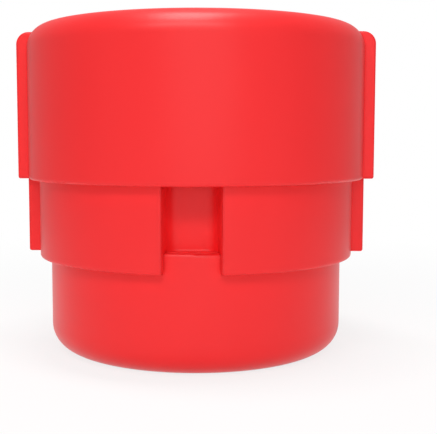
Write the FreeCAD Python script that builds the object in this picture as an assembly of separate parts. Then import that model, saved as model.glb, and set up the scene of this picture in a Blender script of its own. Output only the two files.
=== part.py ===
"""Press-down pitter that stones six cherries in one push.

A shallow cup stands on the table and catches the stones. A guide body sits on its rim and
carries a tray with six cherry cups. A deep cap slides down over the guide body and pushes six
punches through the cherries, and a spring lifts it again.

Millimetres, +Z up, origin at the middle of the foot. The notch faces -Y and the ribs lie along X.
"""
import FreeCAD, Part
import math
import os

# Fits, walls and edges that several pieces share
slide_clearance = 0.35      # between shells that slide or lift over each other
seat_clearance = 0.1        # between pieces that are fixed in each other
moulded_wall = 3.0          # wall of the pit cup and the press cap
edge_round = 0.7            # rounding of the edges that show
rim_chamfer = 0.5           # softening of the edges that don't
overshoot = 1.0             # how far a cutting tool runs past what it cuts

# Pit cup
cup_radius = 47.6
cup_height = 36.1
cup_base_round = 8.4
cup_floor = 2.6
foot_width = 5.2
foot_recess = 0.8

# Guide body
body_wall = 3.2
body_height = 32.5
skirt_overlap = 5.7         # how far the skirt hangs down over the cup's rim
shoulder_thickness = 2.4
shoulder_width = 5.4
body_rib_width = 8.3
body_rib_reach = 3.85
body_rib_wall = 2.2
body_rib_lift = 1.0
body_rib_core_width = 3.8

# Finger channels, folded into the guide body at the front and the back
notch_half_angle = 9.67
notch_depth = 10.15
channel_wall = 2.5
channel_corner = 3.6        # inside rounding where the sides meet the back
channel_directions = (-90, 90)

# Cherry tray
tray_flange_thickness = 2.5
tray_flange_inset = 0.25
tray_wall = 2.2
deck_thickness = 2.5
deck_depth = 3.5            # from the top of the guide body down to the deck
hub_bore_radius = 11.0
hub_wall = 1.8
hub_depth = 5.5             # below the deck's underside
cherry_count = 6
cherry_pitch_radius = 27.0
cherry_mouth_radius = 12.5
cherry_throat_radius = 8.9
cherry_cup_depth = 15.0
cherry_cup_wall = 1.4

# Soft seats in the bottom of the cherry cups
seat_radius = 8.5
seat_height = 2.4
seat_ledge = 1.3
seat_hole_radius = 4.6
seat_rim_width = 1.6
seat_lip_thickness = 0.8
seat_dish = 1.0
seat_slit_width = 0.9
seat_slit_count = 8
neck_length = 3.4
neck_wall = 1.9
neck_step = 1.6

# Stripper plate
stripper_thickness = 2.5
stripper_inset = 0.3
stripper_rim_width = 2.0
stripper_rim_depth = 2.2
punch_hole_clearance = 0.6
collar_height = 1.0
collar_wall = 2.3
well_radius = 8.3
well_wall = 2.0
well_floor = 2.0
well_depth = 9.0            # from the plate's underside down to the well's top face of floor
stripper_rib_width = 1.6

# Press stroke and return spring
press_stroke = 25.0
stop_gap = 0.3
spring_wire = 1.0
spring_radius = 6.5
spring_turns = 6.5
spring_end_gap = 0.6        # gap between the wires of the closed end turns
spring_closed_turns = 0.75  # turns at each end that lie close
spring_easing_turns = 0.5   # turns in which the pitch opens up
spring_seat_gap = 0.05

# Guide rod, washer and its screw
rod_radius = 3.0
rod_clearance = 0.4
pin_head_radius = 5.0       # head of the guide rod and of each punch
pin_head_height = 1.4
washer_radius = 6.5
washer_thickness = 1.4
rod_screw_radius = 1.3
rod_screw_length = 8.0
rod_screw_head_radius = 3.6
rod_screw_head_height = 2.0
rod_screw_slot_width = 0.9
rod_screw_slot_depth = 1.0

# Punches
punch_radius = 3.3
punch_tip_recess = 0.5      # from the stripper's underside up to the tips at rest
punch_flute_length = 20.0
punch_arm_width = 1.7
punch_tip_chamfer = 0.7

# Punch plate and its screws
plate_radius = 46.0
plate_thickness = 3.0
plate_rim_width = 2.2
plate_rib_height = 2.0
plate_rib_width = 1.8
spigot_height = 1.5
plate_screw_radius = 1.5
plate_screw_head_radius = 2.8
plate_screw_head_height = 1.4
plate_screw_length = 4.0
plate_screw_pitch_radius = 38.0
plate_screw_angles = (30, 150, 210, 330)

# Press cap
roof_gap = 3.8              # from the punch plate up to the roof of the cap
cap_crown = 0.8
cap_top_round = 7.0
cap_rib_face_wall = 2.25
cap_rib_drop = 2.4          # from the top of the cap down to the top of its ribs
cap_rib_corner = 4.0
boss_wall = 2.4
boss_web_width = 1.6
pad_wall = 2.2

# Sizes that follow from the ones above
cup_inner = cup_radius - moulded_wall
body_inner = cup_radius + slide_clearance
body_radius = body_inner + body_wall
skirt_low = cup_height - skirt_overlap
body_top = skirt_low + body_height
body_rib_outer = body_radius + body_rib_reach
channel_front = body_radius - notch_depth
channel_back = channel_front - channel_wall
channel_half_angle = notch_half_angle + math.degrees(math.asin(channel_wall / body_inner))

flange_top = body_top + tray_flange_thickness
deck_top = body_top - deck_depth
deck_low = deck_top - deck_thickness
hub_low = deck_low - hub_depth
throat_height = deck_top - cherry_cup_depth
cherry_taper = (cherry_mouth_radius - cherry_throat_radius) / cherry_cup_depth
cup_top_radius = cherry_mouth_radius - cherry_taper * deck_thickness
seat_socket_radius = seat_radius + seat_clearance
seat_low = throat_height - seat_height - seat_clearance
neck_radius = seat_socket_radius - seat_ledge
neck_low = seat_low - neck_length
tray_flange_radius = body_radius - tray_flange_inset
spigot_radius = cup_radius
spigot_inner = spigot_radius - tray_wall

stripper_top = flange_top + stripper_thickness
stripper_radius = tray_flange_radius - stripper_inset
punch_hole_radius = punch_radius + punch_hole_clearance
collar_top = stripper_top + collar_height
well_bottom = flange_top - well_depth
well_low = well_bottom - well_floor
well_outer = well_radius + well_wall
rod_bore_radius = rod_radius + rod_clearance

plate_low = collar_top + stop_gap + press_stroke
plate_top = plate_low + plate_thickness
pin_head_low = plate_top - pin_head_height
head_seat_radius = pin_head_radius + seat_clearance
punch_tip = flange_top + punch_tip_recess
rod_low = well_low - seat_clearance
screw_head_top = plate_low + plate_screw_head_height + seat_clearance

cap_radius = body_radius + slide_clearance + moulded_wall
cap_inner = cap_radius - moulded_wall
cap_low = skirt_low + press_stroke
cap_roof = plate_top + roof_gap
cap_top = cap_roof + moulded_wall + cap_crown
cap_crown_radius = (cap_radius ** 2 + cap_crown ** 2) / (2 * cap_crown)
cap_rib_width = body_rib_width + 2 * (slide_clearance + moulded_wall)
cap_rib_channel = body_rib_outer + slide_clearance
cap_rib_outer = cap_rib_channel + cap_rib_face_wall
cap_rib_top = cap_top - cap_rib_drop

axis_foot = FreeCAD.Vector(0, 0, 0)
axis_up = FreeCAD.Vector(0, 0, 1)


# Shapes that several pieces are made from

def disc(radius, low, high):
    """Upright cylinder on the axis, from one height to another."""
    return Part.makeCylinder(radius, high - low, FreeCAD.Vector(0, 0, low))


def tube(inner, outer, low, high):
    """Upright ring on the axis."""
    return disc(outer, low, high).cut(disc(inner, low - overshoot, high + overshoot))


def block(x_low, x_high, width, low, high):
    """Upright block that lies evenly about the X axis."""
    corner = FreeCAD.Vector(x_low, -width / 2, low)
    return Part.makeBox(x_high - x_low, width, high - low, corner)


def moved(shape, radius, angle):
    """A copy of a shape, moved out from the axis and turned about it."""
    outward = shape.translated(FreeCAD.Vector(radius, 0, 0))
    return outward.rotated(axis_foot, axis_up, angle)


def joined(shapes):
    """All the shapes as one."""
    return shapes[0].multiFuse(shapes[1:]).removeSplitter()


def cherry_angles():
    """Directions of the cherry cups, the punches and their holes."""
    return [index * 360 / cherry_count for index in range(cherry_count)]


def at_cherries(shape):
    """One copy of a shape at each cherry."""
    return [moved(shape, cherry_pitch_radius, angle) for angle in cherry_angles()]


def at_plate_screws(shape):
    """One copy of a shape at each screw of the punch plate."""
    return [moved(shape, plate_screw_pitch_radius, angle) for angle in plate_screw_angles]


def corner_arc(before, corner, after, rounding):
    """Arc that rounds the corner between two straight runs of an outline."""
    to_before = (before - corner).normalize()
    to_after = (after - corner).normalize()
    half = to_before.getAngle(to_after) / 2
    reach = rounding / math.tan(half)
    inward = (to_before + to_after).normalize()
    middle = corner + inward * (rounding / math.sin(half) - rounding)
    return Part.Arc(corner + to_before * reach, middle, corner + to_after * reach)


def outline(corners):
    """Closed wire through (across, up, rounding) corners in the XZ plane."""
    points = [FreeCAD.Vector(across, 0, up) for across, up, rounding in corners]
    edges = []
    starts = []
    ends = []
    for index, (across, up, rounding) in enumerate(corners):
        before = points[index - 1]
        after = points[(index + 1) % len(points)]
        if rounding > 0:
            arc = corner_arc(before, points[index], after, rounding)
            starts.append(arc.StartPoint)
            ends.append(arc.EndPoint)
            edges.append(arc.toShape())
        else:
            starts.append(points[index])
            ends.append(points[index])
    for index, end in enumerate(ends):
        start = starts[(index + 1) % len(starts)]
        if end.distanceToPoint(start) > 1e-6:
            edges.append(Part.makeLine(end, start))
    return Part.Wire(Part.__sortEdges__(edges))


def turned(corners):
    """Solid of revolution about the axis from an outline of (radius, height, rounding)."""
    return Part.Face(outline(corners)).revolve(axis_foot, axis_up, 360)


def sector(inner, outer, half_angle, low, high, direction, corner=0):
    """Upright block between two radii and two radial sides, its inner corners rounded if asked."""
    def at(radius, degrees):
        turn = math.radians(direction + degrees)
        return FreeCAD.Vector(radius * math.cos(turn), radius * math.sin(turn), low)

    inner_arc = Part.Arc(at(inner, -half_angle), at(inner, 0), at(inner, half_angle))
    outer_arc = Part.Arc(at(outer, half_angle), at(outer, 0), at(outer, -half_angle))
    side = Part.makeLine(at(inner, half_angle), at(outer, half_angle))
    other_side = Part.makeLine(at(outer, -half_angle), at(inner, -half_angle))
    wire = Part.Wire([inner_arc.toShape(), side, outer_arc.toShape(), other_side])
    solid = Part.Face(wire).extrude(FreeCAD.Vector(0, 0, high - low))
    if corner > 0:
        uprights = [edge for edge in solid.Edges if is_upright_at(edge, inner)]
        solid = solid.makeFillet(corner, uprights)
    return solid


def is_upright_at(edge, radius):
    """Whether an edge is upright and stands at a radius from the axis."""
    box = edge.BoundBox
    away = math.hypot(box.Center.x, box.Center.y)
    return box.DiagonalLength < box.ZLength + 0.01 and abs(away - radius) < 0.01


def upright_rib(inner, outer, width, low, high, top_corner):
    """Flat rib that stands out along +X, with a rounded top corner and softened edges."""
    corners = [
        (inner, low, 0),
        (outer, low, edge_round),
        (outer, high, top_corner),
        (inner, high, 0),
    ]
    side = Part.Face(outline(corners))
    side.translate(FreeCAD.Vector(0, -width / 2, 0))
    rib = side.extrude(FreeCAD.Vector(0, width, 0))
    upright = [edge for edge in rib.Edges if is_outer_upright(edge, outer)]
    return rib.makeFillet(edge_round / 2, upright)


def is_outer_upright(edge, outer):
    """Whether an edge is one of the two upright edges at the outer face of a rib."""
    box = edge.BoundBox
    return box.XMin > outer - 0.01 and box.XMax < outer + 0.01 and box.YLength < 0.01


# Pit cup: a shallow bowl on a foot ring

def pit_cup():
    foot_inner = cup_radius - cup_base_round - foot_width
    floor_top = foot_recess + cup_floor
    return turned([
        (0, foot_recess, 0),
        (foot_inner, foot_recess, 0),
        (foot_inner, 0, 0),
        (cup_radius, 0, cup_base_round),
        (cup_radius, cup_height, edge_round),
        (cup_inner + rim_chamfer, cup_height, 0),
        (cup_inner, cup_height - rim_chamfer, 0),
        (cup_inner, floor_top, cup_base_round - moulded_wall),
        (0, floor_top, 0),
    ])


# Guide body: an open ring with a shoulder that rests on the cup, two ribs and two channels

def guide_body_ring():
    shoulder_inner = body_inner - shoulder_width
    shoulder_top = cup_height + shoulder_thickness
    return turned([
        (body_inner, skirt_low + rim_chamfer, 0),
        (body_inner + rim_chamfer, skirt_low, 0),
        (body_radius, skirt_low, edge_round),
        (body_radius, body_top, 0),
        (body_inner, body_top, 0),
        (body_inner, shoulder_top, 0),
        (shoulder_inner, shoulder_top, 0),
        (shoulder_inner, cup_height, 0),
        (body_inner, cup_height, 0),
    ])


def finger_channel(direction):
    """Walls, back and floor of one channel that folds into the guide body."""
    middle_of_wall = body_radius - body_wall / 2
    floor_outer = cup_inner - slide_clearance
    floor_low = cup_height - channel_wall
    half_angle = channel_half_angle
    corner = channel_corner + channel_wall
    box = sector(channel_back, middle_of_wall, half_angle, cup_height, body_top, direction, corner)
    floor = sector(channel_back, floor_outer, half_angle, floor_low, cup_height, direction, corner)
    return box.fuse(floor)


def finger_channel_space(direction):
    """The open space of one channel, through the skirt and up to its roof."""
    outside = body_radius + overshoot
    roof = body_top - channel_wall
    middle_of_cup_wall = cup_radius - moulded_wall / 2
    low = skirt_low - overshoot
    half_angle = notch_half_angle
    corner = channel_corner
    over_the_rim = sector(channel_front, outside, half_angle, cup_height, roof, direction, corner)
    skirt = sector(middle_of_cup_wall, outside, half_angle, low, cup_height, direction)
    return over_the_rim.fuse(skirt)


def guide_body():
    inner = body_radius - body_wall / 2
    low = skirt_low + body_rib_lift
    rib = upright_rib(inner, body_rib_outer, body_rib_width, low, body_top, edge_round / 2)
    core_low = cup_height + shoulder_thickness
    core = block(
        body_inner - overshoot,
        body_rib_outer - body_rib_wall,
        body_rib_core_width,
        core_low,
        body_top + overshoot,
    )
    body = joined([guide_body_ring(), moved(rib, 0, 0), moved(rib, 0, 180)])
    body = joined([body] + [finger_channel(direction) for direction in channel_directions])
    for direction in channel_directions:
        body = body.cut(finger_channel_space(direction))
    for angle in (0, 180):
        body = body.cut(moved(core, 0, angle))
    return body


# Cherry tray: a flanged deck with six tapered holes around a hub

def tray_deck():
    return turned([
        (hub_bore_radius, hub_low, 0),
        (hub_bore_radius + hub_wall, hub_low, 0),
        (hub_bore_radius + hub_wall, deck_low, 0),
        (spigot_radius - rim_chamfer, deck_low, 0),
        (spigot_radius, deck_low + rim_chamfer, 0),
        (spigot_radius, body_top, 0),
        (tray_flange_radius, body_top, 0),
        (tray_flange_radius, flange_top, 0),
        (spigot_inner, flange_top, 0),
        (spigot_inner, deck_top, 0),
        (hub_bore_radius, deck_top, 0),
    ])


def cherry_hole():
    """Tapered cutter through the deck, in line with the inside of a cherry cup."""
    low = deck_low - overshoot
    high = deck_top + overshoot
    low_radius = cup_top_radius - cherry_taper * overshoot
    high_radius = cherry_mouth_radius + cherry_taper * overshoot
    return Part.makeCone(low_radius, high_radius, high - low, FreeCAD.Vector(0, 0, low))


def channel_relief(direction):
    """Space that the deck leaves for a channel of the guide body."""
    inner = channel_back - slide_clearance
    half_angle = channel_half_angle + math.degrees(math.asin(slide_clearance / inner))
    low = deck_low - overshoot
    return sector(inner, body_radius + overshoot, half_angle, low, body_top, direction)


def cherry_tray():
    tray = tray_deck()
    spaces = [channel_relief(direction) for direction in channel_directions]
    for space in at_cherries(cherry_hole()) + spaces:
        tray = tray.cut(space)
    return tray


# Cherry cup: a tapered cup under the deck, with a socket for its soft seat and a neck below

def cherry_cup():
    neck_outer = neck_radius + neck_wall
    throat_outer = cherry_throat_radius + cherry_cup_wall
    socket_low = seat_low - neck_step
    return turned([
        (neck_radius, neck_low, 0),
        (neck_outer, neck_low, 0),
        (neck_outer, socket_low, 0),
        (throat_outer, socket_low, 0),
        (throat_outer, throat_height, 0),
        (cup_top_radius + cherry_cup_wall, deck_low, 0),
        (cup_top_radius, deck_low, 0),
        (cherry_throat_radius, throat_height, 0),
        (seat_socket_radius, throat_height, 0),
        (seat_socket_radius, seat_low, 0),
        (neck_radius, seat_low, 0),
    ])


# Cup seat: a soft dished ring whose inner edge is slit into flexible teeth

def cup_seat():
    seat_top = seat_low + seat_height
    rim_inner = seat_radius - seat_rim_width
    lip_top = seat_top - seat_dish
    lip_low = lip_top - seat_lip_thickness
    ring = turned([
        (rim_inner, seat_low, 0),
        (seat_radius, seat_low, 0),
        (seat_radius, seat_top, 0),
        (seat_hole_radius, lip_top, 0),
        (seat_hole_radius, lip_low, 0),
        (rim_inner, seat_top - seat_lip_thickness, 0),
    ])
    slit = block(0, rim_inner, seat_slit_width, seat_low - overshoot, seat_top + overshoot)
    for index in range(seat_slit_count):
        ring = ring.cut(moved(slit, 0, index * 360 / seat_slit_count))
    return ring


# Stripper plate: a disc that lies on the tray, with a spring well in its middle

def stripper_disc():
    rim_outer = spigot_inner - seat_clearance - stripper_inset
    rim_inner = rim_outer - stripper_rim_width
    rim_low = flange_top - stripper_rim_depth
    return turned([
        (rod_bore_radius, well_low, 0),
        (well_outer, well_low, 0),
        (well_outer, flange_top, 0),
        (rim_inner, flange_top, 0),
        (rim_inner, rim_low, 0),
        (rim_outer, rim_low, 0),
        (rim_outer, flange_top, 0),
        (stripper_radius, flange_top, 0),
        (stripper_radius, stripper_top, 0),
        (well_outer, stripper_top, 0),
        (well_outer, collar_top, 0),
        (well_radius, collar_top, 0),
        (well_radius, well_bottom, 0),
        (rod_bore_radius, well_bottom, 0),
    ])


def stripper_plate():
    collar = disc(punch_hole_radius + collar_wall, stripper_top - overshoot, collar_top)
    hole = disc(punch_hole_radius, flange_top - overshoot, collar_top + overshoot)
    rib_end = spigot_inner - stripper_rim_width
    rib = block(well_outer - well_wall / 2, rib_end, stripper_rib_width, stripper_top, collar_top)
    half_step = 180 / cherry_count
    ribs = [moved(rib, 0, angle + half_step) for angle in cherry_angles()]
    plate = joined([stripper_disc()] + at_cherries(collar) + ribs)
    for cutter in at_cherries(hole):
        plate = plate.cut(cutter)
    return plate


# Return spring: one tube along a helix whose end turns lie close

def spring_pitch(turn, open_pitch):
    """Climb per turn at a place on the spring, smaller in the first and the last turn."""
    closed_pitch = spring_wire + spring_end_gap
    from_end = min(turn, spring_turns - turn)
    share = min(max((from_end - spring_closed_turns) / spring_easing_turns, 0), 1)
    return closed_pitch + (open_pitch - closed_pitch) * share


def spring_open_pitch(rise):
    """Climb per turn in the middle, so that the whole spring climbs by the given rise."""
    closed_pitch = spring_wire + spring_end_gap
    closed_turns = 2 * (spring_closed_turns + spring_easing_turns / 2)
    return (rise - closed_turns * closed_pitch) / (spring_turns - closed_turns)


def spring_nodes():
    """Places and directions on the wire's middle line, every quarter turn."""
    rise = plate_low - well_bottom - spring_wire - 2 * spring_seat_gap
    open_pitch = spring_open_pitch(rise)
    step = 0.25
    fine_steps = 50
    height = well_bottom + spring_wire / 2 + spring_seat_gap
    nodes = []
    for index in range(int(round(spring_turns / step)) + 1):
        turn = index * step
        angle = 2 * math.pi * turn
        place = FreeCAD.Vector(
            spring_radius * math.cos(angle),
            spring_radius * math.sin(angle),
            height,
        )
        climb = spring_pitch(turn, open_pitch) / (2 * math.pi)
        direction = FreeCAD.Vector(
            -spring_radius * math.sin(angle),
            spring_radius * math.cos(angle),
            climb,
        )
        nodes.append((place, direction.normalize()))
        for part in range(fine_steps):
            here = turn + (part + 0.5) * step / fine_steps
            height += spring_pitch(here, open_pitch) * step / fine_steps
    return nodes


def tangent_arc(start, corner, end):
    """Arc from start to end whose end tangents meet at the corner."""
    reach = (corner - start).Length
    chord_middle = (start + end) * 0.5
    to_middle = chord_middle - corner
    half = math.acos(to_middle.Length / reach)
    to_arc = reach / math.cos(half) - reach * math.tan(half)
    return Part.Arc(start, corner + to_middle.normalize() * to_arc, end)


def biarc(start, start_way, end, end_way):
    """Two arcs that leave start and reach end in the given directions."""
    across = end - start
    both_ways = start_way + end_way
    square = 2 * (1 - start_way.dot(end_way))
    linear = 2 * across.dot(both_ways)
    root = math.sqrt(linear ** 2 + 4 * square * across.dot(across))
    reach = (root - linear) / (2 * square)
    near_start = start + start_way * reach
    near_end = end - end_way * reach
    meeting = (near_start + near_end) * 0.5
    return tangent_arc(start, near_start, meeting), tangent_arc(meeting, near_end, end)


def spring_gap(nodes, arcs):
    """Least gap between one turn of the wire and another, measured on points."""
    samples_per_arc = 4
    points = []
    for arc in arcs:
        step = (arc.LastParameter - arc.FirstParameter) / samples_per_arc
        for index in range(samples_per_arc):
            points.append(arc.value(arc.FirstParameter + index * step))
    half_turn = len(points) / spring_turns / 2
    least = None
    for first, place in enumerate(points):
        for second in range(first + int(half_turn), len(points)):
            distance = place.distanceToPoint(points[second])
            least = distance if least is None else min(least, distance)
    return least - spring_wire


def return_spring():
    nodes = spring_nodes()
    arcs = []
    for (start, start_way), (end, end_way) in zip(nodes, nodes[1:]):
        arcs.extend(biarc(start, start_way, end, end_way))
    path = Part.Wire([arc.toShape() for arc in arcs])
    place, direction = nodes[0]
    section = Part.Wire(Part.makeCircle(spring_wire / 2, place, direction))
    spring = path.makePipeShell([section], True, False)
    print("return_spring least gap to itself", round(spring_gap(nodes, arcs), 3))
    return spring


# Guide rod, with the washer and screw that keep the stripper plate on it

def guide_rod():
    rod = disc(rod_radius, rod_low, pin_head_low + seat_clearance)
    head = disc(pin_head_radius, pin_head_low, plate_top)
    bore = disc(rod_screw_radius + seat_clearance, rod_low - overshoot, rod_low + rod_screw_length)
    return rod.fuse(head).cut(bore).removeSplitter()


def rod_washer():
    bore = rod_screw_radius + seat_clearance
    return tube(bore, washer_radius, rod_low - washer_thickness, rod_low)


def rod_screw():
    head_top = rod_low - washer_thickness
    head_low = head_top - rod_screw_head_height
    shank_top = rod_low + rod_screw_length - 2 * seat_clearance
    screw = disc(rod_screw_head_radius, head_low, head_top)
    screw = screw.fuse(disc(rod_screw_radius, head_top - seat_clearance, shank_top))
    slot_half = rod_screw_head_radius / 2
    slot_top = head_low + rod_screw_slot_depth
    slot = block(-slot_half, slot_half, rod_screw_slot_width, head_low - overshoot, slot_top)
    return screw.cut(slot).cut(moved(slot, 0, 90)).removeSplitter()


# Punch: a headed pin whose lower end is fluted to a cross

def punch():
    shaft = turned([
        (0, punch_tip, 0),
        (punch_radius - punch_tip_chamfer, punch_tip, 0),
        (punch_radius, punch_tip + punch_tip_chamfer, 0),
        (punch_radius, pin_head_low, 0),
        (pin_head_radius, pin_head_low, 0),
        (pin_head_radius, plate_top, 0),
        (0, plate_top, 0),
    ])
    half_arm = punch_arm_width / 2
    flute_size = punch_radius + overshoot
    corner = FreeCAD.Vector(half_arm, half_arm, punch_tip - overshoot)
    flute = Part.makeBox(flute_size, flute_size, punch_flute_length + overshoot, corner)
    for angle in (0, 90, 180, 270):
        shaft = shaft.cut(moved(flute, 0, angle))
    return shaft


# Punch plate: carries the punches and the guide rod under the roof of the cap

def punch_plate_disc():
    rim_inner = plate_radius - plate_rim_width
    rim_top = plate_top + plate_rib_height
    rod_hole = rod_radius + seat_clearance
    spigot_outer = spring_radius - spring_wire / 2 - slide_clearance
    return turned([
        (rod_hole, plate_low - spigot_height, 0),
        (spigot_outer, plate_low - spigot_height, 0),
        (spigot_outer, plate_low, 0),
        (plate_radius, plate_low, 0),
        (plate_radius, rim_top, 0),
        (rim_inner, rim_top, 0),
        (rim_inner, plate_top, 0),
        (rod_hole, plate_top, 0),
    ])


def plate_ribs():
    """Stiffening ribs between the punches, cut short where a screw boss stands."""
    half_step = 180 / cherry_count
    rib_start = head_seat_radius + pad_wall
    to_rim = plate_radius - plate_rim_width / 2
    boss_edge = plate_screw_pitch_radius - plate_screw_radius - boss_wall - overshoot
    ribs = []
    for angle in cherry_angles():
        direction = angle + half_step
        end = boss_edge if direction in plate_screw_angles else to_rim
        low = plate_top - overshoot
        rib = block(rib_start, end, plate_rib_width, low, plate_top + plate_rib_height)
        ribs.append(moved(rib, 0, direction))
    return ribs


def punch_plate():
    plate = joined([punch_plate_disc()] + plate_ribs())
    past_top = plate_top + overshoot
    past_low = plate_low - overshoot
    head_seat = disc(head_seat_radius, pin_head_low, past_top)
    punch_hole = disc(punch_radius + seat_clearance, past_low, past_top)
    screw_hole = disc(plate_screw_radius + seat_clearance, past_low, past_top)
    screw_seat = disc(plate_screw_head_radius + seat_clearance, past_low, screw_head_top)
    cutters = [head_seat] + at_cherries(head_seat) + at_cherries(punch_hole)
    cutters += at_plate_screws(screw_hole) + at_plate_screws(screw_seat)
    for cutter in cutters:
        plate = plate.cut(cutter)
    return plate


def punch_plate_screws():
    """Four screws as one group, driven up into the bosses of the cap."""
    head = disc(plate_screw_head_radius, plate_low + seat_clearance, screw_head_top)
    shank_top = plate_top + plate_screw_length
    shank = disc(plate_screw_radius, screw_head_top - seat_clearance, shank_top)
    return Part.makeCompound(at_plate_screws(head.fuse(shank).removeSplitter()))


# Press cap: a deep domed shell with two hollow ribs, bosses and pads under its roof

def cap_outside():
    """Solid up to a gently domed top with a rounded shoulder."""
    crown_middle = cap_top - cap_crown_radius
    round_across = cap_radius - cap_top_round
    lift = math.sqrt((cap_crown_radius - cap_top_round) ** 2 - round_across ** 2)
    round_up = crown_middle + lift
    tilt = math.atan2(lift, round_across)

    def on_round(angle):
        across = round_across + cap_top_round * math.cos(angle)
        return FreeCAD.Vector(across, 0, round_up + cap_top_round * math.sin(angle))

    def on_crown(angle):
        across = cap_crown_radius * math.cos(angle)
        return FreeCAD.Vector(across, 0, crown_middle + cap_crown_radius * math.sin(angle))

    crown_half = (tilt + math.pi / 2) / 2
    shoulder = Part.Arc(on_round(0), on_round(tilt / 2), on_round(tilt))
    apex = FreeCAD.Vector(0, 0, cap_top)
    crown = Part.Arc(on_round(tilt), on_crown(crown_half), apex)
    foot = FreeCAD.Vector(0, 0, cap_low)
    foot_edge = FreeCAD.Vector(cap_radius, 0, cap_low)
    wire = Part.Wire([
        Part.makeLine(foot, foot_edge),
        Part.makeLine(foot_edge, on_round(0)),
        shoulder.toShape(),
        crown.toShape(),
        Part.makeLine(apex, foot),
    ])
    return Part.Face(wire).revolve(axis_foot, axis_up, 360)


def cap_inside():
    """The space in the cap, up to a flat roof with a sloping edge."""
    slope = cap_top_round - moulded_wall
    return turned([
        (0, cap_low - overshoot, 0),
        (cap_inner, cap_low - overshoot, 0),
        (cap_inner, cap_roof - slope, 0),
        (cap_inner - slope, cap_roof, 0),
        (0, cap_roof, 0),
    ])


def cap_rib():
    """A rib that runs up into the rounded shoulder, its inner end cut away with the inside."""
    start = cap_radius - cap_top_round
    rib = upright_rib(start, cap_rib_outer, cap_rib_width, cap_low, cap_rib_top, cap_rib_corner)
    return rib.cut(cap_inside())


def roof_fittings():
    """Screw bosses, their webs, and the pads that hold the pins down, up to the roof."""
    boss_radius = plate_screw_radius + boss_wall
    high = cap_roof + overshoot
    boss = disc(boss_radius, plate_top, high)
    web_low = plate_top + plate_rib_height + overshoot
    web_end = cap_radius - moulded_wall / 2 - plate_screw_pitch_radius
    web = block(0, web_end, boss_web_width, web_low, high)
    pad_inner = pin_head_radius - pad_wall
    pad = tube(pad_inner, head_seat_radius + pad_wall / 2, plate_top, high)
    return at_plate_screws(boss) + at_plate_screws(web) + at_cherries(pad) + [pad]


def press_cap():
    outside = cap_outside()
    lower_rim = [edge for edge in outside.Edges if edge.BoundBox.ZMax < cap_low + 0.01]
    shell = outside.makeFillet(edge_round, lower_rim).cut(cap_inside())
    fittings = [fitting.common(outside) for fitting in roof_fittings()]
    cap = joined([shell, cap_rib(), moved(cap_rib(), 0, 180)] + fittings)
    channel_width = body_rib_width + 2 * slide_clearance
    channel_top = cap_rib_top - moulded_wall
    channel_start = cap_inner - overshoot
    channel_low = cap_low - overshoot
    channel = block(channel_start, cap_rib_channel, channel_width, channel_low, channel_top)
    for angle in (0, 180):
        cap = cap.cut(moved(channel, 0, angle))
    screw_bore_top = plate_top + plate_screw_length + 2 * seat_clearance
    screw_bore = disc(plate_screw_radius + seat_clearance, plate_top - overshoot, screw_bore_top)
    for cutter in at_plate_screws(screw_bore):
        cap = cap.cut(cutter)
    return cap


# Write every piece in its place

def write(name, shape):
    shape.exportStep("parts/" + name + ".step")


os.makedirs("parts", exist_ok=True)
write("pit_cup", pit_cup())
write("guide_body", guide_body())
write("cherry_tray", cherry_tray())
for number, cup in enumerate(at_cherries(cherry_cup()), start=1):
    write("cherry_cup_" + str(number), cup)
for number, seat in enumerate(at_cherries(cup_seat()), start=1):
    write("cup_seat_" + str(number), seat)
write("stripper_plate", stripper_plate())
write("return_spring", return_spring())
write("guide_rod", guide_rod())
write("rod_washer", rod_washer())
write("rod_screw", rod_screw())
write("punch_plate", punch_plate())
for number, pin in enumerate(at_cherries(punch()), start=1):
    write("punch_" + str(number), pin)
write("punch_plate_screws", punch_plate_screws())
write("press_cap", press_cap())
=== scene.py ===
import math

import bpy
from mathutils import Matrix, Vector


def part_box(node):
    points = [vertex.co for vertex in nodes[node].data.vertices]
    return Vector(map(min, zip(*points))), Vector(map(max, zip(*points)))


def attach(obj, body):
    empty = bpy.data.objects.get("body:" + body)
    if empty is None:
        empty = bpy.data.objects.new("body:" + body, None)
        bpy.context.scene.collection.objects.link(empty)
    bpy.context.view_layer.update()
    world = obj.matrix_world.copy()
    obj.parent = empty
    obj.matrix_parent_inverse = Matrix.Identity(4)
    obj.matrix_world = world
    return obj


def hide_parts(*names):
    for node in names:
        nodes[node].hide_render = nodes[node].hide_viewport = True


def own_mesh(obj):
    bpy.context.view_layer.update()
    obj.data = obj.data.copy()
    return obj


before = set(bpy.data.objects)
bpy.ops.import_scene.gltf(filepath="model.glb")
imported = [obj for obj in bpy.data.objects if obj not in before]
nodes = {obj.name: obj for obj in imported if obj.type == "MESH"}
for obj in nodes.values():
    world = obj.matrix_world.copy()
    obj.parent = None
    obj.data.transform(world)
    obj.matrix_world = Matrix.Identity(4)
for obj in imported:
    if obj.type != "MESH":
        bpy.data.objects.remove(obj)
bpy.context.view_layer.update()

# Camera. The photo was taken from a little above the middle of the pitter, almost straight at the
# notch, from under three times its height away, and was cropped so that the pitter stands to the left.
camera_place = (0.00643, -0.29417, 0.06959)
camera_tilt_down = 5.316
camera_turn = 1.293
camera_lens = 72.91
camera_crop = 0.0535
nearest_seen = 0.01

bpy.ops.object.camera_add(
    location=camera_place,
    rotation=(math.radians(90 - camera_tilt_down), 0, math.radians(camera_turn)),
)
camera = bpy.context.object
camera.name = "camera"
camera.data.lens = camera_lens
camera.data.shift_x = camera_crop
camera.data.clip_start = nearest_seen
bpy.context.scene.camera = camera
bpy.context.scene.view_settings.view_transform = "Standard"


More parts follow.
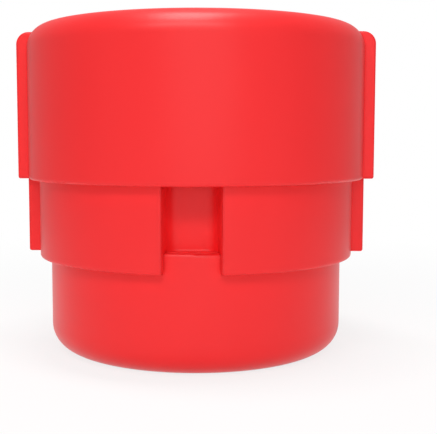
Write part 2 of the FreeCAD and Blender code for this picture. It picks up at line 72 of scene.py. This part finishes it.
# Worktop and surroundings. A pale seamless top keeps the shadow near the foot and runs out to white.
# The surroundings look white, to the camera and in reflections, but light the pitter less than that.
def seen_or_mirrored(tree):
    rays = tree.nodes.new("ShaderNodeLightPath")
    seen = tree.nodes.new("ShaderNodeMath")
    seen.operation = "MAXIMUM"
    seen_or_through = tree.nodes.new("ShaderNodeMath")
    seen_or_through.operation = "MAXIMUM"
    tree.links.new(rays.outputs["Is Camera Ray"], seen.inputs[0])
    tree.links.new(rays.outputs["Is Glossy Ray"], seen.inputs[1])
    tree.links.new(seen.outputs[0], seen_or_through.inputs[0])
    tree.links.new(rays.outputs["Is Transmission Ray"], seen_or_through.inputs[1])
    return seen_or_through.outputs[0]


pure_white = (1, 1, 1, 1)
floor_size = 8.0
floor_colour = (0.92, 0.92, 0.92, 1)
shadow_reach = 0.08
white_from = 0.34
glow_near = 0.80

bpy.ops.object.select_all(action="DESELECT")
bpy.ops.mesh.primitive_plane_add(size=floor_size)
floor = bpy.context.object
floor.name = "worktop"
floor_material = bpy.data.materials.new("worktop_white")
floor_material.use_nodes = True
floor_material.cycles.emission_sampling = "NONE"
tree = floor_material.node_tree
tree.nodes.clear()
matt = tree.nodes.new("ShaderNodeBsdfDiffuse")
matt.inputs["Color"].default_value = floor_colour
glow = tree.nodes.new("ShaderNodeEmission")
glow.inputs["Color"].default_value = pure_white
place = tree.nodes.new("ShaderNodeTexCoord")
away = tree.nodes.new("ShaderNodeVectorMath")
away.operation = "LENGTH"
fade = tree.nodes.new("ShaderNodeMapRange")
fade.interpolation_type = "SMOOTHSTEP"
fade.inputs["From Min"].default_value = shadow_reach
fade.inputs["From Max"].default_value = white_from
fade.inputs["To Min"].default_value = glow_near
share = tree.nodes.new("ShaderNodeMath")
share.operation = "MULTIPLY"
mix = tree.nodes.new("ShaderNodeMixShader")
out = tree.nodes.new("ShaderNodeOutputMaterial")
tree.links.new(place.outputs["Object"], away.inputs[0])
tree.links.new(away.outputs["Value"], fade.inputs["Value"])
tree.links.new(seen_or_mirrored(tree), share.inputs[0])
tree.links.new(fade.outputs["Result"], share.inputs[1])
tree.links.new(share.outputs[0], mix.inputs[0])
tree.links.new(matt.outputs[0], mix.inputs[1])
tree.links.new(glow.outputs[0], mix.inputs[2])
tree.links.new(mix.outputs[0], out.inputs[0])
floor.data.materials.append(floor_material)

ambient_level = 0.27
world = bpy.data.worlds.new("white_studio")
bpy.context.scene.world = world
world.use_nodes = True
tree = world.node_tree
tree.nodes.clear()
ambient = tree.nodes.new("ShaderNodeBackground")
ambient.inputs["Color"].default_value = pure_white
ambient.inputs["Strength"].default_value = ambient_level
white = tree.nodes.new("ShaderNodeBackground")
white.inputs["Color"].default_value = pure_white
mix = tree.nodes.new("ShaderNodeMixShader")
out = tree.nodes.new("ShaderNodeOutputWorld")
tree.links.new(seen_or_mirrored(tree), mix.inputs[0])
tree.links.new(ambient.outputs[0], mix.inputs[1])
tree.links.new(white.outputs[0], mix.inputs[2])
tree.links.new(mix.outputs[0], out.inputs[0])

# Lamps. A broad one above the front, a low panel behind the camera and a box overhead. The shine on
# the rounded shoulder comes from a large overhead panel that shows in gloss alone.
low_on_cup = (0, 0, 0.05)
middle_of_pitter = (0, 0, 0.06)
top_of_cap = (0, 0, 0.10)


def soft_lamp(name, place, aim, width, height, watts):
    bpy.ops.object.light_add(type="AREA", location=place)
    lamp = bpy.context.object
    lamp.name = name
    lamp.data.shape = "RECTANGLE"
    lamp.data.size = width
    lamp.data.size_y = height
    lamp.data.energy = watts
    lamp.visible_camera = False
    lamp.rotation_euler = (Vector(aim) - Vector(place)).to_track_quat("-Z", "Y").to_euler()
    return lamp


soft_lamp(
    "front_lamp", place=(-0.060, -0.720, 0.610), aim=middle_of_pitter, width=0.70, height=0.18, watts=3.2
)
soft_lamp(
    "camera_side_panel", place=(0.080, -0.780, 0.210), aim=low_on_cup, width=0.60, height=0.36, watts=0.6
)
overhead = soft_lamp(
    "overhead_box", place=(-0.020, -0.030, 0.750), aim=top_of_cap, width=0.26, height=0.09, watts=2.4
)
overhead.visible_glossy = False
shine = soft_lamp(
    "overhead_shine", place=(-0.028, -0.180, 0.740), aim=top_of_cap, width=0.30, height=0.48, watts=4.3
)
shine.visible_diffuse = False

# Cards. Two grey ones stand behind the pitter, left and right, and keep the sides of the shells
# from washing out in the white surroundings. The camera doesn't see them.
card_distance = 0.30
card_turn = 60
card_width = 0.34
card_height = 0.50
card_level = 0.46

card_material = bpy.data.materials.new("card_grey")
card_material.use_nodes = True
tree = card_material.node_tree
tree.nodes.clear()
glow = tree.nodes.new("ShaderNodeEmission")
glow.inputs["Color"].default_value = pure_white
glow.inputs["Strength"].default_value = card_level
out = tree.nodes.new("ShaderNodeOutputMaterial")
tree.links.new(glow.outputs[0], out.inputs[0])
for name, side in (("card_left", -1), ("card_right", 1)):
    turn = side * math.radians(card_turn)
    bpy.ops.mesh.primitive_plane_add(
        size=1,
        location=(card_distance * math.sin(turn), card_distance * math.cos(turn), card_height / 2),
        rotation=(math.radians(90), 0, -turn),
        scale=(card_width, card_height, 1),
    )
    card = bpy.context.object
    card.name = name
    card.data.materials.append(card_material)
    card.visible_camera = False
    card.visible_transmission = False
    card.visible_shadow = False


# Pit cup. The bottom cup that catches the stones and the juice, injection moulded in red
# polypropylene. Its satin surface is a little uneven from the flow of the melt in the mould.
def noise_pattern(tree, scale, detail):
    place = tree.nodes.new("ShaderNodeTexCoord")
    pattern = tree.nodes.new("ShaderNodeTexNoise")
    pattern.inputs["Scale"].default_value = scale
    pattern.inputs["Detail"].default_value = detail
    tree.links.new(place.outputs["Object"], pattern.inputs["Vector"])
    return pattern.outputs["Fac"]


def vary_tone_and_gloss(tree, pattern, tone, other_tone, smooth, rough):
    shader = tree.nodes["Principled BSDF"]
    shade = tree.nodes.new("ShaderNodeMix")
    shade.data_type = "RGBA"
    shade.inputs["A"].default_value = tone
    shade.inputs["B"].default_value = other_tone
    polish = tree.nodes.new("ShaderNodeMapRange")
    polish.inputs["To Min"].default_value = smooth
    polish.inputs["To Max"].default_value = rough
    tree.links.new(pattern, shade.inputs["Factor"])
    tree.links.new(shade.outputs["Result"], shader.inputs["Base Color"])
    tree.links.new(pattern, polish.inputs["Value"])
    tree.links.new(polish.outputs["Result"], shader.inputs["Roughness"])


def raise_pattern(tree, pattern, depth):
    relief_share = 0.05
    relief = tree.nodes.new("ShaderNodeBump")
    relief.inputs["Strength"].default_value = relief_share
    relief.inputs["Distance"].default_value = depth
    tree.links.new(pattern, relief.inputs["Height"])
    tree.links.new(relief.outputs["Normal"], tree.nodes["Principled BSDF"].inputs["Normal"])
    return relief


def moulded_plastic(name, tone, flow_tone, roughness, ior):
    flow_scale = 34
    flow_detail = 2
    unevenness = 0.03
    grain_scale = 2600
    grain_detail = 3
    grain_depth = 0.00005
    broken_edge_radius = 0.0012

    material = bpy.data.materials.new(name)
    material.use_nodes = True
    tree = material.node_tree
    tree.nodes["Principled BSDF"].inputs["IOR"].default_value = ior
    flow = noise_pattern(tree, flow_scale, flow_detail)
    vary_tone_and_gloss(tree, flow, tone, flow_tone, roughness - unevenness, roughness + unevenness)
    grain = raise_pattern(tree, noise_pattern(tree, grain_scale, grain_detail), grain_depth)
    broken_edge = tree.nodes.new("ShaderNodeBevel")
    broken_edge.samples = 8
    broken_edge.inputs["Radius"].default_value = broken_edge_radius
    tree.links.new(broken_edge.outputs["Normal"], grain.inputs["Normal"])
    return material


def finish_node(name, material):
    nodes[name].data.materials.clear()
    nodes[name].data.materials.append(material)


red_shell = moulded_plastic(
    "red_satin_plastic",
    tone=(0.94, 0.024, 0.026, 1),
    flow_tone=(0.91, 0.021, 0.024, 1),
    roughness=0.35,
    ior=1.37,
)
finish_node("pit_cup", red_shell)

# Guide body. The middle shell, with two flat ribs and a finger notch front and back. It is
# moulded in the same red plastic and drops over the rim of the pit cup.
finish_node("guide_body", red_shell)

# Cherry tray and cherry cups. One moulding in off-white plastic, a deck with six tapered cups.
# It hangs by its rim on the guide body and lifts out for washing.
white_moulding = moulded_plastic(
    "white_matt_plastic",
    tone=(0.74, 0.74, 0.71, 1),
    flow_tone=(0.70, 0.70, 0.67, 1),
    roughness=0.48,
    ior=1.46,
)
cup_count = 6
finish_node("cherry_tray", white_moulding)
for number in range(1, cup_count + 1):
    finish_node("cherry_cup_%d" % number, white_moulding)

# Cup seats. Six soft silicone rings, pressed into the bottoms of the cherry cups. The dished lip
# is slit into eight teeth that let a stone through and hold the cherry back.
seat_outer = 0.0085
seat_rim_inner = 0.0069
seat_hole = 0.0046
seat_dish = 0.0010
seat_lip = 0.0008
seat_sides = 96
slit_width = 0.0009
slit_height = 0.01
slit_turns = (0, 45, 90, 135)
seat_smooth_angle = 35
seat_merge_distance = 0.00002
seat_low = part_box("cup_seat_1")[0][2]
seat_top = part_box("cup_seat_1")[1][2]
lip_top = seat_top - seat_dish

silicone_ior = 1.41
silicone_glow_share = 0.15
silicone_glow_depth = 0.002
silicone = bpy.data.materials.new("soft_silicone")
silicone.use_nodes = True
tree = silicone.node_tree
shader = tree.nodes["Principled BSDF"]
shader.inputs["IOR"].default_value = silicone_ior
shader.inputs["Subsurface Weight"].default_value = silicone_glow_share
shader.inputs["Subsurface Scale"].default_value = silicone_glow_depth
cloud = noise_pattern(tree, scale=160, detail=2)
vary_tone_and_gloss(
    tree, cloud, tone=(0.62, 0.64, 0.63, 1), other_tone=(0.70, 0.71, 0.69, 1), smooth=0.46, rough=0.60
)


def next_ring(rise, scale):
    bpy.ops.mesh.extrude_edges_move(TRANSFORM_OT_translate={"value": (0, 0, rise)})
    if scale != 1:
        bpy.ops.transform.resize(value=(scale, scale, 1), center_override=(0, 0, seat_top))


bpy.ops.object.select_all(action="DESELECT")
bpy.ops.mesh.primitive_circle_add(vertices=seat_sides, radius=seat_outer, location=(0, 0, seat_low))
seat = bpy.context.object
bpy.ops.object.transform_apply(location=True)
bpy.ops.object.mode_set(mode="EDIT")
bpy.ops.mesh.select_mode(type="EDGE")
bpy.ops.mesh.select_all(action="SELECT")
next_ring(seat_top - seat_low, 1)
next_ring(lip_top - seat_top, seat_hole / seat_outer)
next_ring(-seat_lip, 1)
next_ring(seat_dish, seat_rim_inner / seat_hole)
next_ring(seat_low - (lip_top - seat_lip + seat_dish), 1)
next_ring(0, seat_outer / seat_rim_inner)
bpy.ops.mesh.select_all(action="SELECT")
bpy.ops.mesh.remove_doubles(threshold=seat_merge_distance)
bpy.ops.mesh.normals_make_consistent(inside=False)
bpy.ops.object.mode_set(mode="OBJECT")

for turn in slit_turns:
    bpy.ops.object.select_all(action="DESELECT")
    bpy.ops.mesh.primitive_cube_add(
        size=1,
        location=(0, 0, seat_top),
        rotation=(0, 0, math.radians(turn)),
        scale=(2 * seat_rim_inner, slit_width, slit_height),
    )
    slit = bpy.context.object
    bpy.context.view_layer.objects.active = seat
    cut = seat.modifiers.new("slit", "BOOLEAN")
    cut.object = slit
    cut.operation = "DIFFERENCE"
    cut.solver = "EXACT"
    bpy.ops.object.modifier_apply(modifier=cut.name)
    bpy.data.objects.remove(slit)
bpy.ops.object.select_all(action="DESELECT")
seat.select_set(True)
bpy.ops.object.shade_smooth_by_angle(angle=math.radians(seat_smooth_angle))
seat.data.materials.append(silicone)

for number in range(1, cup_count + 1):
    node_name = "cup_seat_%d" % number
    low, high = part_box(node_name)
    bpy.ops.object.select_all(action="DESELECT")
    seat.select_set(True)
    bpy.context.view_layer.objects.active = seat
    bpy.ops.object.duplicate(linked=False)
    placed = bpy.context.object
    placed.name = "silicone_seat_%d" % number
    placed.location = ((low[0] + high[0]) / 2, (low[1] + high[1]) / 2, 0)
    bpy.ops.object.transform_apply(location=True)
    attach(placed, "tray")
    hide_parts(node_name)
bpy.data.objects.remove(seat)

# Stripper plate. A white moulded disc that rests on the tray, with a deep well in its middle for the
# spring. Its collars strip the cherries off the punches on the way up.
finish_node("stripper_plate", white_moulding)

# Return spring. Hard-drawn steel wire, wound over a mandrel, with its end turns wound close. It
# stands in the well of the stripper plate and pushes the punch plate up.
wire_radius = 0.0005
coil_radius = 0.0065
coil_turns = 6.5
end_gap = 0.0006
close_turns = 0.75
easing_turns = 0.5
points_per_turn = 16
steps_per_point = 8
wire_smooth_angle = 50
wire_merge_distance = 0.000005
coil_low, coil_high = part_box("return_spring")
coil_climb = coil_high[2] - coil_low[2] - 2 * wire_radius
close_pitch = 2 * wire_radius + end_gap
eased_turns = 2 * (close_turns + easing_turns / 2)
open_pitch = (coil_climb - eased_turns * close_pitch) / (coil_turns - eased_turns)

# A cubic NURBS line runs a little inside its control points, which stand that much further out.
point_radius = coil_radius * 3 / (2 + math.cos(2 * math.pi / points_per_turn))
height = coil_low[2] + wire_radius
coil_points = []
point_count = int(coil_turns * points_per_turn) + 1
for index in range(point_count):
    angle = 2 * math.pi * index / points_per_turn
    coil_points.append((point_radius * math.cos(angle), point_radius * math.sin(angle), height, 1))
    for part in range(steps_per_point):
        turn = (index + (part + 0.5) / steps_per_point) / points_per_turn
        from_end = min(turn, coil_turns - turn)
        openness = min(max((from_end - close_turns) / easing_turns, 0), 1)
        pitch = close_pitch + (open_pitch - close_pitch) * openness
        height += pitch / points_per_turn / steps_per_point

spring_steel = bpy.data.materials.new("drawn_spring_wire")
spring_steel.use_nodes = True
tree = spring_steel.node_tree
tree.nodes["Principled BSDF"].inputs["Metallic"].default_value = 1
draw_marks = noise_pattern(tree, scale=900, detail=4)
vary_tone_and_gloss(
    tree, draw_marks, tone=(0.42, 0.42, 0.43, 1), other_tone=(0.60, 0.60, 0.60, 1), smooth=0.22, rough=0.40
)

bpy.ops.object.select_all(action="DESELECT")
bpy.ops.curve.primitive_nurbs_path_add(radius=coil_radius)
spring = bpy.context.object
spring.name = "wire_spring"
spring.data.splines.clear()
wire_line = spring.data.splines.new("NURBS")
wire_line.points.add(len(coil_points) - 1)
for point, place_of_point in zip(wire_line.points, coil_points):
    point.co = place_of_point
wire_line.order_u = 4
wire_line.use_endpoint_u = True
wire_line.resolution_u = 3
spring.data.bevel_depth = wire_radius
spring.data.bevel_resolution = 4
spring.data.use_fill_caps = True
bpy.ops.object.convert(target="MESH")
spring = bpy.context.object
bpy.ops.object.mode_set(mode="EDIT")
bpy.ops.mesh.select_all(action="SELECT")
bpy.ops.mesh.remove_doubles(threshold=wire_merge_distance)
bpy.ops.mesh.normals_make_consistent(inside=False)
bpy.ops.object.mode_set(mode="OBJECT")
bpy.ops.object.shade_smooth_by_angle(angle=math.radians(wire_smooth_angle))
spring.data.materials.clear()
spring.data.materials.append(spring_steel)
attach(spring, "stripper")
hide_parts("return_spring")
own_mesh(spring)


# Guide rod, washer and screw. Turned stainless steel: the rod slides in the middle of the stripper
# plate, and the washer and the cross-slotted screw on its end keep the plate on it.
def turned_steel(name, wave_type):
    tool_mark_scale = 2400
    tool_mark_depth = 0.00002
    waviness = 0.6

    material = bpy.data.materials.new(name)
    material.use_nodes = True
    tree = material.node_tree
    tree.nodes["Principled BSDF"].inputs["Metallic"].default_value = 1
    place = tree.nodes.new("ShaderNodeTexCoord")
    tool_marks = tree.nodes.new("ShaderNodeTexWave")
    tool_marks.wave_type = wave_type
    tool_marks.bands_direction = "Z"
    tool_marks.rings_direction = "Z"
    tool_marks.inputs["Scale"].default_value = tool_mark_scale
    tool_marks.inputs["Distortion"].default_value = waviness
    tool_marks.inputs["Detail"].default_value = 2
    tree.links.new(place.outputs["Object"], tool_marks.inputs["Vector"])
    marks = tool_marks.outputs["Fac"]
    vary_tone_and_gloss(
        tree, marks, tone=(0.56, 0.56, 0.57, 1), other_tone=(0.66, 0.65, 0.64, 1), smooth=0.20, rough=0.32
    )
    raise_pattern(tree, marks, tool_mark_depth)
    return material


bar_steel = turned_steel("turned_bar_steel", "BANDS")
faced_steel = turned_steel("faced_steel", "RINGS")
finish_node("guide_rod", bar_steel)
finish_node("rod_washer", faced_steel)
finish_node("rod_screw", faced_steel)

# Punches. Six headed stainless pins with a cross-shaped lower end, turned and then milled. They
# hang by their heads in the punch plate and push the stones out.
for number in range(1, cup_count + 1):
    finish_node("punch_%d" % number, bar_steel)

# Punch plate and its screws. A stiff white moulded disc under the roof of the cap holds the punch
# heads, and four steel screws fix it up into the bosses of the cap.
finish_node("punch_plate", white_moulding)
finish_node("punch_plate_screws", bar_steel)

# Press cap. The deep domed shell that the palm pushes down, with two flat ribs on its sides. It is
# moulded in the red plastic of the pit cup.
finish_node("press_cap", red_shell)
